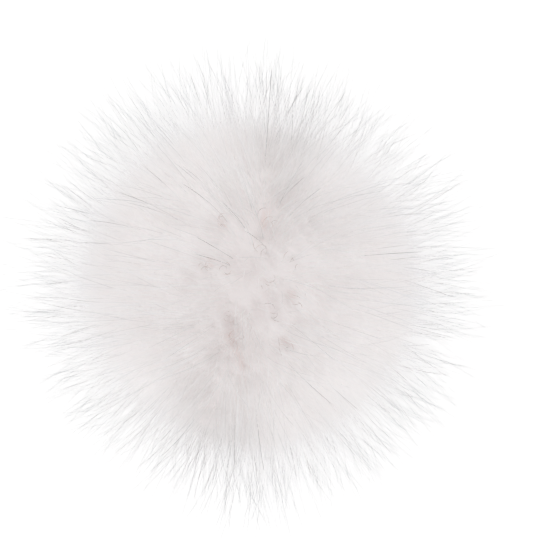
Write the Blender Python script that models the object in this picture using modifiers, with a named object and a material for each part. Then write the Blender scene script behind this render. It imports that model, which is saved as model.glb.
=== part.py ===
"""White faux-fur pom pom with a sewn-on press stud, lying on its back.

Metres, +Z up. The origin is the middle of the press stud's flat face, on the surface that the pom pom
lies on. The face of the pom pom looks up, and its pile is shorter where it meets the surface.
"""

import math
from collections import namedtuple

import bmesh
import bpy
import numpy as np
from mathutils import Vector

MM = 0.001
MERGE_DISTANCE = 1e-6

# The ball of pile. Reaches are measured from its centre to the hair tips.
CENTRE_HEIGHT = 40 * MM
REACH_X = 57.6 * MM
REACH_Y = 57 * MM
REACH_UP = 57 * MM
UNDER_PILE_REACH = 46.5 * MM
UNDER_PILE_SWELL = 3 * MM
SWELL_BEARING = math.radians(75)
REACH_SPREAD = 2.2 * MM

# The backing, with its gathered neck.
BACKING_RADIUS = 30 * MM
BACKING_STEPS = 26
BACKING_ROWS = 13
NECK_RADIUS = 8.4 * MM
NECK_BOTTOM = 3.45 * MM
NECK_EDGE = 0.8 * MM

# The locks of hair.
LOCKS = 256
LOWEST_LOCK = math.radians(159)
LONG_LOCK_EVERY = 4
LONG_LOCK_GIRTH = 0.8
LOCK_SEED = 11
ROOT_DEPTH = 1.6 * MM
ROOT_JITTER = 0.012
FLOOR_PRESS = 4 * MM
FLOOR_SPREAD = 0.35
OUTWARD_COMB = 0.16
SWIRL = 0.10
PARTING_PUSH = 0.22
PARTING_SOFTNESS = 5 * MM

LockSection = namedtuple("LockSection", "share half_width")
LOCK_SECTIONS = (
    LockSection(0.0, 2.0 * MM),
    LockSection(0.36, 3.7 * MM),
    LockSection(0.7, 2.95 * MM),
    LockSection(1.0, 0.16 * MM),
)

# Places on the face where the pile parts, seen from above, with the middle of each parting.
Parting = namedtuple("Parting", "x y length bearing")
PARTINGS = (
    Parting(4.4 * MM, 15.5 * MM, 9 * MM, math.radians(80)),
    Parting(6.0 * MM, 5.6 * MM, 6 * MM, math.radians(60)),
    Parting(-2.0 * MM, -15.6 * MM, 12 * MM, math.radians(-68)),
)

# The press stud. Heights are above its flat face, and the plate faces down.
STUD_RADIUS = 10.5 * MM
SHEET = 0.35 * MM
STUD_STEPS = 40
BOSS_FLAT_RADIUS = 2.1 * MM
BOSS_RADIUS = 3.05 * MM
BOSS_SHOULDER = 0.45 * MM
PLATE_HEIGHT = 2.45 * MM
DISH_HEIGHT = 2.05 * MM
RIM_RADIUS = 0.42 * MM
RIM_HEIGHT = 1.35 * MM
SEWING_HOLES = 6
SEWING_HOLE_CIRCLE = 7.4 * MM
SEWING_HOLE_RADIAL = 1.0 * MM
SEWING_HOLE_TANGENT = 1.6 * MM
SEWING_HOLE_SIDES = 16
CUTTER_DEPTH = 6 * MM

# The spring wire in the stud.
WIRE_RADIUS = 0.25 * MM
WIRE_HEIGHT = 1.85 * MM
WIRE_SLOT_INNER = 1.8 * MM
WIRE_SLOT_OUTER = 3.3 * MM
WIRE_SLOT_LENGTH = 7 * MM
WIRE_SLOT_TALL = 1.1 * MM
WIRE_POINTS_A_SPAN = 3

WirePoint = namedtuple("WirePoint", "x y")
WIRE_ROUTE = (
    WirePoint(8.15 * MM, -4.45 * MM),
    WirePoint(7.55 * MM, -4.75 * MM),
    WirePoint(6.75 * MM, -4.2 * MM),
    WirePoint(6.35 * MM, -2.6 * MM),
    WirePoint(6.0 * MM, 0.2 * MM),
    WirePoint(5.6 * MM, 2.5 * MM),
    WirePoint(4.9 * MM, 3.95 * MM),
    WirePoint(3.9 * MM, 4.4 * MM),
    WirePoint(3.0 * MM, 3.8 * MM),
    WirePoint(2.45 * MM, 2.5 * MM),
    WirePoint(2.35 * MM, 0.0 * MM),
    WirePoint(2.35 * MM, -5.1 * MM),
)

FUR_COLOUR = (0.86, 0.83, 0.83, 1.0)
STEEL_COLOUR = (0.60, 0.58, 0.56, 1.0)
WIRE_COLOUR = (0.68, 0.67, 0.66, 1.0)


def clear_scene():
    """Removes every object, so that the file can be run twice."""
    for obj in list(bpy.data.objects):
        bpy.data.objects.remove(obj, do_unlink=True)


def new_collection(name):
    collection = bpy.data.collections.new(name)
    bpy.context.scene.collection.children.link(collection)
    return collection


def new_material(name, colour, roughness, metallic):
    material = bpy.data.materials.new(name)
    material.use_nodes = True
    shader = material.node_tree.nodes["Principled BSDF"]
    shader.inputs["Base Color"].default_value = colour
    shader.inputs["Roughness"].default_value = roughness
    shader.inputs["Metallic"].default_value = metallic
    material.diffuse_color = colour
    return material


def add_object(name, data, collection):
    obj = bpy.data.objects.new(name, data)
    collection.objects.link(obj)
    return obj


def as_cutter(obj):
    """Marks a helper that a Boolean uses and that isn't a piece itself."""
    obj.hide_render = True
    obj.display_type = "WIRE"
    return obj


def add_boolean(obj, name, other, operation):
    modifier = obj.modifiers.new(name, "BOOLEAN")
    modifier.operation = operation
    modifier.object = other
    return modifier


def turned(name, profile, steps, collection):
    """An object turned about Z from a profile of (radius, height) points, run down its outer side."""
    mesh = bpy.data.meshes.new(name)
    shape = bmesh.new()
    corners = [shape.verts.new((radius, 0.0, height)) for radius, height in profile]
    for upper, lower in zip(corners, corners[1:]):
        shape.edges.new((upper, lower))
    shape.to_mesh(mesh)
    shape.free()
    obj = add_object(name, mesh, collection)
    screw = obj.modifiers.new("turn", "SCREW")
    screw.steps = steps
    screw.render_steps = steps
    screw.use_merge_vertices = True
    screw.merge_threshold = MERGE_DISTANCE
    return obj


def arc(centre_radius, centre_height, radius, first_deg, last_deg, points):
    """Profile points on an arc. Zero degrees points away from the axis, and 90 degrees up."""
    angles = np.radians(np.linspace(first_deg, last_deg, points))
    return [
        (centre_radius + radius * math.cos(a), centre_height + radius * math.sin(a))
        for a in angles
    ]


def mesh_from_curve(name, curve_object, collection):
    """The evaluated curve as a mesh object with welded caps. The curve is removed."""
    graph = bpy.context.evaluated_depsgraph_get()
    mesh = bpy.data.meshes.new_from_object(curve_object.evaluated_get(graph))
    place = curve_object.matrix_world.copy()
    bpy.data.objects.remove(curve_object, do_unlink=True)
    shape = bmesh.new()
    shape.from_mesh(mesh)
    bmesh.ops.remove_doubles(shape, verts=shape.verts, dist=MERGE_DISTANCE)
    bmesh.ops.recalc_face_normals(shape, faces=shape.faces)
    shape.to_mesh(mesh)
    shape.free()
    obj = add_object(name, mesh, collection)
    obj.matrix_world = place
    return obj


# ---------------------------------------------------------------------------------------- the fur


def backing_profile():
    """The ball down to its gathered neck, ending in the flat base that the stud is sewn to."""
    neck_polar = 180 - math.degrees(math.asin(NECK_RADIUS / BACKING_RADIUS))
    ball = arc(0, CENTRE_HEIGHT, BACKING_RADIUS, 90, 90 - neck_polar, BACKING_ROWS)
    ball[0] = (0.0, CENTRE_HEIGHT + BACKING_RADIUS)
    base = [
        (NECK_RADIUS, NECK_BOTTOM + NECK_EDGE),
        (NECK_RADIUS - NECK_EDGE, NECK_BOTTOM),
        (0.0, NECK_BOTTOM),
    ]
    return ball + base


def lock_directions():
    """Unit vectors of the lock roots, spread evenly down from the top of the ball on a spiral."""
    turn = math.pi * (3 - math.sqrt(5))
    index = np.arange(LOCKS)
    height = 1 - (1 - math.cos(LOWEST_LOCK)) * (index + 0.5) / LOCKS
    ring = np.sqrt(1 - height**2)
    spiral = np.column_stack((ring * np.cos(index * turn), ring * np.sin(index * turn), height))
    spiral += np.random.default_rng(LOCK_SEED).normal(0, ROOT_JITTER, spiral.shape)
    return spiral / np.linalg.norm(spiral, axis=1, keepdims=True)


def lock_reach(direction, is_long, spread):
    """How far from the ball's centre a lock's tip stands before the surface stops it."""
    x, y, z = direction
    if is_long:
        reach = math.sqrt((x * REACH_X) ** 2 + (y * REACH_Y) ** 2 + (z * REACH_UP) ** 2)
    else:
        swell = math.cos(2 * (math.atan2(y, x) - SWELL_BEARING)) * math.hypot(x, y)
        reach = UNDER_PILE_REACH + UNDER_PILE_SWELL * swell
    return reach - REACH_SPREAD * spread


def parting_push(x, y):
    """How the pile leans away from the partings at a place on the face."""
    push = np.zeros(3)
    for parting in PARTINGS:
        along = np.array((math.cos(parting.bearing), math.sin(parting.bearing)))
        place = np.array((x - parting.x, y - parting.y))
        run = float(np.clip(place @ along, -parting.length / 2, parting.length / 2))
        away = place - run * along
        distance = float(np.linalg.norm(away))
        if distance > 0:
            fade = math.exp(-((distance / PARTING_SOFTNESS) ** 2))
            push[:2] += PARTING_PUSH * fade * away / distance
    return push


def lean(direction):
    """The sideways lean of a lock: outward from the face, in slow swirls, and away from partings."""
    x, y, z = direction
    lean_vector = np.array((x, y, 0.0)) * OUTWARD_COMB
    swirl = SWIRL * math.sin(3 * x + 2 * z) * math.cos(2 * y - z)
    lean_vector += swirl * np.array((-y, x, 0.0))
    if z > 0:
        lean_vector += z * parting_push(x * BACKING_RADIUS, y * BACKING_RADIUS)
    return lean_vector


def lock_points(direction, reach, girth):
    """Centre line of one lock as (place, half width) rows, from its root in the backing to its tip."""
    sideways = lean(direction)
    if direction[2] < 0:
        reach = min(reach, (CENTRE_HEIGHT + FLOOR_PRESS) / -direction[2])
    root = BACKING_RADIUS - ROOT_DEPTH
    rows = []
    for section in LOCK_SECTIONS:
        half_width = section.half_width * girth
        aim = direction + sideways * section.share**2
        aim /= np.linalg.norm(aim)
        place = aim * (root + section.share * (reach - root))
        place[2] += CENTRE_HEIGHT
        pressed = max(half_width - place[2], 0.0)
        place[:2] *= 1 + FLOOR_SPREAD * pressed / max(np.linalg.norm(place[:2]), MM)
        place[2] += pressed
        rows.append((place, half_width))
    return rows


def add_lock(curve, rows):
    spline = curve.splines.new("POLY")
    spline.points.add(len(rows) - 1)
    for point, (place, half_width) in zip(spline.points, rows):
        point.co = (*place, 1.0)
        point.radius = half_width / MM


def build_locks(collection):
    """All the locks as one mesh of four-sided tapering tubes that stand apart."""
    curve = bpy.data.curves.new("locks", "CURVE")
    curve.dimensions = "3D"
    curve.twist_mode = "Z_UP"
    curve.bevel_depth = MM
    curve.bevel_resolution = 0
    curve.use_fill_caps = True
    spreads = np.random.default_rng(LOCK_SEED).uniform(0, 1, LOCKS)
    for index, direction in enumerate(lock_directions()):
        is_long = index % LONG_LOCK_EVERY == 0
        reach = lock_reach(direction, is_long, spreads[index])
        girth = LONG_LOCK_GIRTH if is_long else 1.0
        add_lock(curve, lock_points(direction, reach, girth))
    return as_cutter(mesh_from_curve("locks", add_object("locks_curve", curve, collection), collection))


def build_fur(parts, cutters):
    fur = turned("fur", backing_profile(), BACKING_STEPS, parts)
    add_boolean(fur, "locks", build_locks(cutters), "UNION")
    fur.data.materials.append(new_material("white_fur", FUR_COLOUR, 0.95, 0.0))
    return fur


# ---------------------------------------------------------------------------------- the press stud


def stud_profile():
    """The pressed sheet: its back from the axis out, round the rolled rim, and its face back in."""
    rim_centre = STUD_RADIUS - RIM_RADIUS
    inner_wall = rim_centre - RIM_RADIUS
    back = [
        (0.0, SHEET),
        (BOSS_FLAT_RADIUS, SHEET),
        (BOSS_RADIUS - SHEET, SHEET + BOSS_SHOULDER),
        (BOSS_RADIUS - SHEET, PLATE_HEIGHT + SHEET),
        (SEWING_HOLE_CIRCLE, PLATE_HEIGHT + SHEET),
        (inner_wall, DISH_HEIGHT + SHEET),
    ]
    rim = arc(rim_centre, RIM_HEIGHT, RIM_RADIUS, 70, -180, 9)
    face = [
        (inner_wall - 0.15 * MM, DISH_HEIGHT - 0.1 * MM),
        (SEWING_HOLE_CIRCLE, PLATE_HEIGHT),
        (BOSS_RADIUS + 0.45 * MM, PLATE_HEIGHT),
        (BOSS_RADIUS, PLATE_HEIGHT - 0.4 * MM),
        (BOSS_RADIUS, BOSS_SHOULDER + 0.15 * MM),
        (BOSS_RADIUS - 0.25 * MM, BOSS_SHOULDER / 2),
        (BOSS_FLAT_RADIUS, 0.0),
        (0.0, 0.0),
    ]
    return back + rim + face


def sewing_hole_cutter(index, collection):
    """An oval rod through the plate, long across the radius."""
    bearing = index * 2 * math.pi / SEWING_HOLES
    bpy.ops.mesh.primitive_cylinder_add(
        vertices=SEWING_HOLE_SIDES, radius=1.0, depth=1.0, location=(0, 0, 0)
    )
    cutter = bpy.context.object
    for vertex in cutter.data.vertices:
        vertex.co.x *= SEWING_HOLE_RADIAL
        vertex.co.y *= SEWING_HOLE_TANGENT
        vertex.co.z *= CUTTER_DEPTH
    cutter.name = f"sewing_hole_{index + 1}"
    cutter.location = (
        SEWING_HOLE_CIRCLE * math.cos(bearing),
        SEWING_HOLE_CIRCLE * math.sin(bearing),
        PLATE_HEIGHT,
    )
    cutter.rotation_euler.z = bearing
    move_to(cutter, collection)
    return as_cutter(cutter)


def move_to(obj, collection):
    for old in list(obj.users_collection):
        old.objects.unlink(obj)
    collection.objects.link(obj)


def wire_slot_cutter(side, collection):
    """A box that opens the boss's wall where the spring wire passes through it."""
    bpy.ops.mesh.primitive_cube_add(size=1.0, location=(0, 0, 0))
    cutter = bpy.context.object
    width = WIRE_SLOT_OUTER - WIRE_SLOT_INNER
    for vertex in cutter.data.vertices:
        vertex.co.x *= width
        vertex.co.y *= WIRE_SLOT_LENGTH
        vertex.co.z *= WIRE_SLOT_TALL
    cutter.name = "wire_slot_right" if side > 0 else "wire_slot_left"
    cutter.location = (side * (WIRE_SLOT_INNER + width / 2), 0, WIRE_HEIGHT)
    move_to(cutter, collection)
    return as_cutter(cutter)


def build_stud(parts, cutters):
    stud = turned("press_stud", stud_profile(), STUD_STEPS, parts)
    for index in range(SEWING_HOLES):
        cutter = sewing_hole_cutter(index, cutters)
        add_boolean(stud, cutter.name, cutter, "DIFFERENCE")
    for side in (1, -1):
        cutter = wire_slot_cutter(side, cutters)
        add_boolean(stud, cutter.name, cutter, "DIFFERENCE")
    stud.data.materials.append(new_material("pressed_steel", STEEL_COLOUR, 0.3, 1.0))
    return stud


def smooth_route(corners):
    """Points on a smooth curve through the corners, worked out by the Catmull-Rom rule."""
    ends = [2 * corners[0] - corners[1], *corners, 2 * corners[-1] - corners[-2]]
    points = []
    for before, start, end, after in zip(ends, ends[1:], ends[2:], ends[3:]):
        for step in range(WIRE_POINTS_A_SPAN):
            t = step / WIRE_POINTS_A_SPAN
            points.append(
                0.5
                * (
                    2 * start
                    + (end - before) * t
                    + (2 * before - 5 * start + 4 * end - after) * t**2
                    + (3 * start - before - 3 * end + after) * t**3
                )
            )
    return [*points, corners[-1]]


def build_spring(name, side, parts, material):
    """One arm of the spring: from the rim, round its bends and past the boss to its free end."""
    corners = [Vector((side * point.x, point.y, WIRE_HEIGHT)) for point in WIRE_ROUTE]
    route = smooth_route(corners)
    curve = bpy.data.curves.new(name, "CURVE")
    curve.dimensions = "3D"
    curve.bevel_depth = WIRE_RADIUS
    curve.bevel_resolution = 1
    curve.use_fill_caps = True
    spline = curve.splines.new("POLY")
    spline.points.add(len(route) - 1)
    for point, place in zip(spline.points, route):
        point.co = (*place, 1.0)
    curve.materials.append(material)
    return add_object(name, curve, parts)


def main():
    clear_scene()
    parts = new_collection("pom_pom")
    cutters = new_collection("cutters")
    build_fur(parts, cutters)
    build_stud(parts, cutters)
    wire = new_material("spring_steel", WIRE_COLOUR, 0.25, 1.0)
    build_spring("stud_spring_right", 1, parts, wire)
    build_spring("stud_spring_left", -1, parts, wire)


main()
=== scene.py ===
"""Looks of a white faux-fur pom pom that lies on its back, on the press stud sewn to its base.

The pile is grown in layers of strands over a dense body. Underfur, down and a fringe at the foot are
the soft pile, overfur and pale and dark guard hair stand out of it, and a few hairs curl. Every
strand is a closed, tapering, three-sided prism along a bent path. The camera looks straight down on
the pom pom's face.
"""

from __future__ import annotations

import logging
import math
from dataclasses import dataclass
from enum import Enum

import bpy
import numpy as np
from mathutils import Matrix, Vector

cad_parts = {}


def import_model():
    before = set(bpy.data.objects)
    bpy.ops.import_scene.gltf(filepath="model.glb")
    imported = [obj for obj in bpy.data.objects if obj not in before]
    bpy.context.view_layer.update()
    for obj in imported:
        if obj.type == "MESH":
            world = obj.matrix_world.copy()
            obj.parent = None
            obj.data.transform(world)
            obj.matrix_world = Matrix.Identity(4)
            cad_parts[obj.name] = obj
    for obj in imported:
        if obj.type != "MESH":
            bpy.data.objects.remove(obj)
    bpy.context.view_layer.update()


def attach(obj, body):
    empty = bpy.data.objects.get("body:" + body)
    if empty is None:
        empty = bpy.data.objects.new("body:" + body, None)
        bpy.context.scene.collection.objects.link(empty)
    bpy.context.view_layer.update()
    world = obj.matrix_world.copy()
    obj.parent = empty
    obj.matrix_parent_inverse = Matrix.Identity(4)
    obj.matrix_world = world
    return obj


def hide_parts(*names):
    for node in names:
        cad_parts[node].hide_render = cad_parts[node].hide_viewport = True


MM = 0.001
ROOT = "root"
HAIR_MAP = "OFBake"
PARTING_DEPTH = "parting"
PILE_SHADE = "shade"
NEARLY_ZERO = 1e-9
WHITE = (1.0, 1.0, 1.0, 1.0)

Array = np.ndarray
Colour = tuple[float, float, float, float]
Span = tuple[float, float]
Rows = tuple[Span, ...]
Place = tuple[float, float, float]
Socket = bpy.types.NodeSocket
Object = bpy.types.Object
Material = bpy.types.Material
Node = bpy.types.Node
Sockets = bpy.types.bpy_prop_collection
Generator = np.random.Generator
log = logging.getLogger("pom_pom")


class Banding(Enum):
    """What a hair's colours follow on their way from root to tip."""

    LENGTH = "share of the hair's own length"
    REACH = "distance from the middle of the ball"


# ---- array helpers


def unit(vectors: Array) -> Array:
    """Vectors, with x, y and z on the last axis, each divided by its own length."""
    return vectors / np.maximum(np.linalg.norm(vectors, axis=-1, keepdims=True), NEARLY_ZERO)


def smooth_step(value: Array, start: float = 0.0, end: float = 1.0) -> Array:
    """Eases 0 to 1 as value goes from start to end: three times the square less twice the cube."""
    held = np.clip((value - start) / (end - start), 0.0, 1.0)
    return held * held * (3.0 - 2.0 * held)


def heading(degrees: float) -> Array:
    """The unit vector, seen from above, with that bearing anticlockwise from +X."""
    return np.array((math.cos(math.radians(degrees)), math.sin(math.radians(degrees))))


def sideways(directions: Array, vectors: Array) -> Array:
    """The part of each vector that is square to its direction."""
    along = np.sum(directions * vectors, axis=-1, keepdims=True)
    return vectors - along * directions


@dataclass(frozen=True)
class Wave:
    """A smooth random field over directions, alike for neighbours.

    Each of its sines adds one random vector, times the sine of the direction's dot product with a
    random wave vector, whose length is pitch, plus a random phase. The sum is divided by the root
    of the number of sines and multiplied by the strength. More pitch is finer.
    """

    strength: float
    sines: int
    pitch: float
    seed: int

    def vectors(self, directions: Array) -> Array:
        """The field's vectors.

        Args:
            directions: (n, 3) unit vectors.

        Returns:
            (n, 3) vectors.
        """
        rng = np.random.default_rng(self.seed)
        wave_vectors = unit(rng.normal(size=(self.sines, 3))) * self.pitch
        phases = rng.uniform(0.0, math.tau, self.sines)
        vectors = rng.normal(size=(self.sines, 3))
        total = np.sin(directions @ wave_vectors.T + phases) @ vectors
        return self.strength * total / math.sqrt(self.sines)

    def values(self, directions: Array) -> Array:
        """The x parts of the field's vectors, as (n,) values."""
        return self.vectors(directions)[:, 0]


# ---- mesh helpers


def mesh_object(name: str, points: Array, triangles: Array, smooth: bool) -> Object:
    """Makes a mesh object at the origin from whole arrays.

    Args:
        name: the piece's name.
        points: (n, 3) places in metres.
        triangles: (m, 3) indices of corners, seen from outside anticlockwise.
        smooth: whether its faces are shaded smooth. Hair isn't, because a smooth normal on a
            section of three sides swallows light.

    Returns:
        The object, linked to the scene.
    """
    mesh = bpy.data.meshes.new(name)
    mesh.vertices.add(len(points))
    mesh.vertices.foreach_set("co", points.astype(np.float32).ravel())
    mesh.loops.add(triangles.size)
    mesh.loops.foreach_set("vertex_index", triangles.astype(np.int32).ravel())
    mesh.polygons.add(len(triangles))
    mesh.polygons.foreach_set("loop_start", np.arange(0, triangles.size, 3, dtype=np.int32))
    mesh.update(calc_edges=True)
    mesh.polygons.foreach_set("use_smooth", np.full(len(triangles), smooth))
    obj = bpy.data.objects.new(name, mesh)
    bpy.context.scene.collection.objects.link(obj)
    return obj


def repeated_object(name: str, corners: Array, triangles: Array, places: Array, smooth: bool) -> Object:
    """Makes one object of many bodies that are joined alike, with its hair map.

    Args:
        name: the piece's name.
        corners: (n, corners, 3) places of each body's corners.
        triangles: (m, 3) indices of one body's corners.
        places: (n, m, 3, 2) places on the hair map.
        smooth: whether its faces are shaded smooth.

    Returns:
        The object, linked to the scene.
    """
    shift = np.arange(len(corners))[:, None, None] * corners.shape[1]
    obj = mesh_object(name, corners.reshape(-1, 3), (triangles[None] + shift).reshape(-1, 3), smooth)
    layer = obj.data.uv_layers.new(name=HAIR_MAP)
    layer.data.foreach_set("uv", places.astype(np.float32).ravel())
    return obj


def wall(rings: int, sides: int) -> Array:
    """A tube's wall: two triangles for each cell between its rings.

    Args:
        rings: how many rings of corners it has.
        sides: how many corners a ring has.

    Returns:
        (m, 3) corner indices.
    """
    here = np.arange(sides)
    beside = (here + 1) % sides
    low = np.arange(rings - 1)[:, None] * sides
    first = np.stack((low + here, low + beside, low + sides + beside), axis=-1)
    second = np.stack((low + here, low + sides + beside, low + sides + here), axis=-1)
    return np.concatenate((first.reshape(-1, 3), second.reshape(-1, 3)))


def ring_corners(paths: Array, half_widths: Array, side: Array, other: Array, angles: Array) -> Array:
    """Rings round paths: each path point plus its half width times a direction at each angle.

    Args:
        paths: (n, points, 3) places.
        half_widths: (n, points) distances from the path to the corners.
        side: (n, points, 3) unit vectors square to the path, at the angle 0.
        other: (n, points, 3) unit vectors square to the path, a quarter turn on.
        angles: (n, sides) or (1, sides) angles of the corners.

    Returns:
        (n, points * sides, 3) places.
    """
    cosine, sine = np.cos(angles)[:, None, :, None], np.sin(angles)[:, None, :, None]
    spokes = cosine * side[:, :, None, :] + sine * other[:, :, None, :]
    rings = paths[:, :, None, :] + half_widths[:, :, None, None] * spokes
    return rings.reshape(len(paths), -1, 3)


def dress(obj: Object, material: Material) -> None:
    """Gives a piece of the fur its material, and puts it on the root body.

    Args:
        obj: the piece.
        material: its material.
    """
    obj.data.materials.append(material)
    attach(obj, ROOT)


# ---- shader helpers


class NodeBuilder:
    """Adds nodes to a tree and links them, with fewer words than the raw calls."""

    def __init__(self, tree: bpy.types.NodeTree) -> None:
        """Keeps the tree that the nodes go to."""
        self.tree = tree

    def add(self, kind: str, **settings: object) -> Node:
        """Adds a node.

        Args:
            kind: its type.
            settings: its properties, by name.

        Returns:
            The node.
        """
        node = self.tree.nodes.new(kind)
        for key, value in settings.items():
            setattr(node, key, value)
        return node

    def value(self, target: Socket, given: object) -> None:
        """Links a socket or sets a plain value, whichever is given.

        Args:
            target: the input that gets it.
            given: the socket or value.
        """
        if isinstance(given, Socket):
            self.tree.links.new(given, target)
        else:
            target.default_value = given

    def feed(self, node: Node, given: dict, result: str | int = 0) -> Socket:
        """Gives a node its inputs.

        Args:
            node: the node.
            given: sockets or plain values, by the names or places of the inputs.
            result: the name or place of an output.

        Returns:
            That output.
        """
        for label, source in given.items():
            self.value(node.inputs[label], source)
        return node.outputs[result]

    def maths(self, operation: str, *given: object, clamp: bool = False) -> Socket:
        """The result of a Math node on up to three sockets or numbers."""
        node = self.add("ShaderNodeMath", operation=operation, use_clamp=clamp)
        return self.feed(node, dict(enumerate(given)))

    def ramp(self, factor: object, low: object, high: object) -> Socket:
        """Smooth rise from 0 at low to 1 at high."""
        node = self.add("ShaderNodeMapRange", interpolation_type="SMOOTHSTEP")
        return self.feed(node, {"Value": factor, "From Min": low, "From Max": high}, "Result")

    def mix(self, factor: object, a: object, b: object) -> Socket:
        """A colour from a to b by factor."""
        node = self.add("ShaderNodeMix", data_type="RGBA")
        return self.feed(node, {"Factor": factor, "A": a, "B": b}, "Result")

    def noise(self, scale: float, detail: float) -> Socket:
        """The value of a noise texture on the object's own coordinates."""
        given = {"Vector": self.add("ShaderNodeTexCoord").outputs["Object"], "Scale": scale, "Detail": detail}
        return self.feed(self.add("ShaderNodeTexNoise"), given, "Fac")

    def bump(self, height: Socket, strength: float, distance: float) -> Socket:
        """The normal of a surface raised by height."""
        given = {"Height": height, "Strength": strength, "Distance": distance}
        return self.feed(self.add("ShaderNodeBump"), given, "Normal")

    def attribute(self, name: str) -> Socket:
        """A number kept on the mesh's points."""
        return self.add("ShaderNodeAttribute", attribute_name=name).outputs["Fac"]

    def parts(self, vector: Socket) -> Sockets:
        """A vector's X, Y and Z."""
        return self.feed(self.add("ShaderNodeSeparateXYZ"), {0: vector}).node.outputs

    def hair_map(self) -> tuple[Socket, Socket]:
        """The places across and up a piece's hair map."""
        parts = self.parts(self.add("ShaderNodeUVMap", uv_map=HAIR_MAP).outputs["UV"])
        return parts["X"], parts["Y"]


def new_material(name: str, settings: dict[str, object]) -> tuple[Material, NodeBuilder, Sockets]:
    """Makes a material.

    Args:
        name: its name.
        settings: values for the inputs of its Principled shader, by label.

    Returns:
        The material, a builder for its nodes, and its shader's inputs.
    """
    material = bpy.data.materials.new(name)
    material.use_nodes = True
    shader = material.node_tree.nodes["Principled BSDF"].inputs
    for label, value in settings.items():
        shader[label].default_value = value
    return material, NodeBuilder(material.node_tree), shader


def strand_colour_group() -> bpy.types.NodeTree:
    """The colour along a strand, from its hair map: how far along in V and its tone in U.

    Returns:
        A group with the inputs Root, Middle, Tip, Rise Start, Rise End, Fall Start, Fall End and
        Tone Spread, and the output Colour. The colour goes from Root to Middle between the two
        rises and on to Tip between the two falls. All of it is darker by Tone Spread times a
        strand's tone, which in the layers of pile carries painted shade as well as random tone.
    """
    name = "strand_colour"
    if name in bpy.data.node_groups:
        return bpy.data.node_groups[name]
    tree = bpy.data.node_groups.new(name, "ShaderNodeTree")
    for label in ("Root", "Middle", "Tip"):
        tree.interface.new_socket(label, in_out="INPUT", socket_type="NodeSocketColor")
    for label in ("Rise Start", "Rise End", "Fall Start", "Fall End", "Tone Spread"):
        tree.interface.new_socket(label, in_out="INPUT", socket_type="NodeSocketFloat")
    tree.interface.new_socket("Colour", in_out="OUTPUT", socket_type="NodeSocketColor")
    nodes = NodeBuilder(tree)
    given = nodes.add("NodeGroupInput").outputs
    tone, along = nodes.hair_map()
    rise = nodes.ramp(along, given["Rise Start"], given["Rise End"])
    fall = nodes.ramp(along, given["Fall Start"], given["Fall End"])
    shade = nodes.maths("SUBTRACT", 1.0, nodes.maths("MULTIPLY", tone, given["Tone Spread"]))
    lower = nodes.mix(rise, given["Root"], given["Middle"])
    toned = nodes.add("ShaderNodeVectorMath", operation="SCALE")
    colour = nodes.feed(toned, {0: nodes.mix(fall, lower, given["Tip"]), "Scale": shade})
    nodes.value(nodes.add("NodeGroupOutput").inputs["Colour"], colour)
    return tree


@dataclass(frozen=True)
class HairFinish:
    """The colours of one kind of hair, and where they change on its way from root to tip."""

    name: str
    root: Colour
    middle: Colour
    tip: Colour
    rise: Span = (0.0, 0.5)
    fall: Span = (0.6, 1.0)
    tone_spread: float = 0.02
    roughness: float = 0.7
    gloss: float = 0.25

    def material(self) -> Material:
        """The material, made from the shared strand colour group."""
        settings = {"Roughness": self.roughness, "Specular IOR Level": self.gloss}
        material, nodes, shader = new_material(self.name, settings)
        group = nodes.add("ShaderNodeGroup", node_tree=strand_colour_group())
        values = (self.root, self.middle, self.tip, *self.rise, *self.fall, self.tone_spread)
        nodes.value(shader["Base Color"], nodes.feed(group, dict(enumerate(values))))
        return material


@dataclass(frozen=True)
class DensePileFinish:
    """The matted base of the pile, darkened by painted shade and pinkish brown in a parting."""

    name: str = "dense_pile"
    pile: Colour = (0.975, 0.944, 0.945, 1.0)
    # The pile's colour under full painted shade.
    shaded: Colour = (0.9, 0.84, 0.835, 1.0)
    parting: Colour = (0.89, 0.8, 0.785, 1.0)
    fibre_pitch: float = 900.0
    mottle: float = 0.3
    roughness: float = 0.95
    gloss: float = 0.1
    # The bump's strength and distance.
    bump: tuple[float, float] = (0.6, 0.4 * MM)

    def material(self) -> Material:
        """The material: pile to shaded by the painted-shade attribute, fine noise, and the parting by
        attribute.
        """
        settings = {"Roughness": self.roughness, "Specular IOR Level": self.gloss}
        material, nodes, shader = new_material(self.name, settings)
        fibres = nodes.noise(self.fibre_pitch, 4.0)
        mottled = nodes.maths("MULTIPLY_ADD", fibres, self.mottle, -self.mottle / 2)
        tone = nodes.maths("ADD", nodes.attribute(PILE_SHADE), mottled, clamp=True)
        pile = nodes.mix(tone, self.pile, self.shaded)
        nodes.value(shader["Base Color"], nodes.mix(nodes.attribute(PARTING_DEPTH), pile, self.parting))
        nodes.value(shader["Normal"], nodes.bump(fibres, *self.bump))
        return material


@dataclass(frozen=True)
class SteelFinish:
    """Pressed or drawn steel with faint rub marks, and smears that are six marks wide."""

    name: str
    colour: Colour
    roughness: float
    roughness_spread: float = 0.2
    mark_pitch: float = 1400.0
    smear_pitch: float = 1400.0 / 6
    smear: Span = (0.35, 0.7)
    dulling: float = 0.72
    # The bump's strength and distance.
    bump: tuple[float, float] = (0.15, 0.05 * MM)

    def material(self) -> Material:
        """The material: plain metal whose colour and roughness drift with fine marks."""
        material, nodes, shader = new_material(self.name, {"Metallic": 1.0})
        smears = nodes.ramp(nodes.noise(self.smear_pitch, 3.0), *self.smear)
        marks = nodes.noise(self.mark_pitch, 4.0)
        dull = tuple(self.dulling * channel for channel in self.colour[:3]) + (1.0,)
        smoothest = self.roughness - self.roughness_spread / 2
        nodes.value(shader["Base Color"], nodes.mix(smears, self.colour, dull))
        roughness = nodes.maths("MULTIPLY_ADD", marks, self.roughness_spread, smoothest)
        nodes.value(shader["Roughness"], roughness)
        nodes.value(shader["Normal"], nodes.bump(marks, *self.bump))
        return material


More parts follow.
